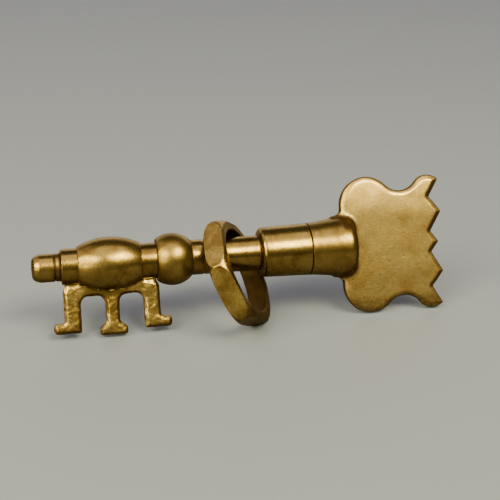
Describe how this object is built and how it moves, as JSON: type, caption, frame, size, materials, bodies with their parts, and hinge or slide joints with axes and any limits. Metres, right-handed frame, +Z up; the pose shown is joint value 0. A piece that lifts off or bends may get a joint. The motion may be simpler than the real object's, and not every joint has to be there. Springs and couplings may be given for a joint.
{
  "type": "key-shaped corkscrew",
  "caption": "Brass corkscrew shaped like an old door key: the crown bow pulls a steel worm out of the hollow shaft, with a loose faceted ring.",
  "frame": {"origin": "middle of the object's box at the level of the surface it stands on", "axes": "+X along the shaft towards the crown bow, +Y to the side the key leans back to, +Z up"},
  "size_m": [0.1499, 0.039, 0.0489],
  "materials": {
    "drawn_brass": "aged drawn tube, satin, brown patina",
    "turned_brass": "aged turned brass, satin to semi-gloss, brown patina",
    "cast_brass": "filed sand casting, soft edges, fine pits",
    "faceted_brass": "filed facets, speckled patina",
    "bright_brass": "turned brass kept clean inside the socket",
    "worm_steel": "drawn steel wire, dulled nickel plating",
    "pin_steel": "plain steel pin, filed flush"
  },
  "bodies": {
    "sheath": {"sheath_tube": "drawn_brass", "end_plug": "turned_brass", "barrel_knop": "turned_brass", "ball_knop": "turned_brass", "mouth_sleeve": "turned_brass", "key_bit": "cast_brass"},
    "grip": {"grip_ring": "bright_brass"},
    "handle": {"bow_handle": "cast_brass", "spigot": "bright_brass", "worm": "worm_steel", "worm_pin": "pin_steel"},
    "ring": {"loose_ring": "faceted_brass"}
  },
  "joints": [
    {"name": "handle_pull", "type": "slide", "parent": "sheath", "child": "grip", "axis": [1, 0, 0], "range_m": [0, 0.064]},
    {"name": "handle_turn", "type": "hinge", "parent": "grip", "child": "handle", "pos_m": [0.02335, 0.0055, 0.02461], "axis": [1, 0, 0], "continuous": true},
    {"name": "ring_swing", "type": "hinge", "parent": "sheath", "child": "ring", "pos_m": [-0.00342, 0.0055, 0.02461], "axis": [1, 0, 0], "continuous": true}
  ]
}
